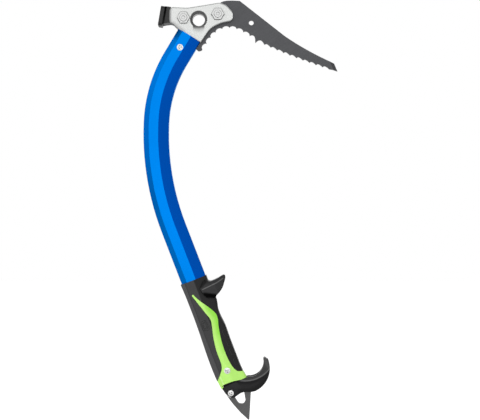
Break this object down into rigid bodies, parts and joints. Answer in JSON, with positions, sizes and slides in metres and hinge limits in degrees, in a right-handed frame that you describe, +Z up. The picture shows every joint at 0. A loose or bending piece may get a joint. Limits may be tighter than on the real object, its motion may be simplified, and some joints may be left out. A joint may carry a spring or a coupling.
{
  "type": "ice axe",
  "caption": "Technical ice axe with a bent faceted tube shaft, clamped pick and hammer, moulded grip with trigger, steel spike and a folding grip rest.",
  "frame": {"origin": "centre of the clip hole in the head, at mid thickness", "axes": "+X forward towards the pick, +Z up with the axe hanging as pictured, +Y along the clip hole, away from the pictured side"},
  "size_m": [0.2324, 0.0264, 0.5023],
  "materials": {
    "blue_anodised": "blue anodised, satin",
    "head_alloy": "bead blasted forging, satin silver",
    "web_alloy": "machined plate, hidden between the cheeks",
    "pick_steel": "dark grey phosphated plate",
    "black_steel": "black coated forging",
    "bright_steel": "bright zinc plated",
    "green_plastic": "satin moulded plastic",
    "grip_rubber": "matt moulded rubber with a fine embossed pattern",
    "trigger_plastic": "matt moulded plastic",
    "insert_brass": "turned brass",
    "plug_plastic": "moulded plastic",
    "spike_steel": "dark grey steel plate with ground edges",
    "rest_alloy": "black anodised forging, satin",
    "bush_bronze": "sintered bronze"
  },
  "bodies": {
    "axe": {"shaft_tube": "blue_anodised", "head_cheek_near": "head_alloy", "head_cheek_far": "head_alloy", "head_web": "web_alloy", "pick": "pick_steel", "hammer": "black_steel", "pick_bolt": "bright_steel", "pick_nut": "bright_steel", "hammer_bolt": "bright_steel", "hammer_nut": "bright_steel", "tang_screw": "bright_steel", "tang_barrel_nut": "bright_steel", "handle_core": "green_plastic", "grip_rubber": "grip_rubber", "trigger": "trigger_plastic", "trigger_screw": "bright_steel", "trigger_insert": "insert_brass", "butt_plug": "plug_plastic", "spike": "spike_steel", "handle_screw": "bright_steel", "handle_barrel_nut": "bright_steel", "pivot_bush": "bush_bronze", "pivot_washers": "bright_steel"},
    "rest": {"grip_rest": "rest_alloy", "pivot_bolt": "bright_steel", "pivot_nut": "bright_steel"}
  },
  "joints": [
    {"name": "rest_fold", "type": "hinge", "parent": "axe", "child": "rest", "pos_m": [0.03842, 0, -0.4456], "axis": [0, 1, 0], "range_deg": [0, 80]}
  ]
}
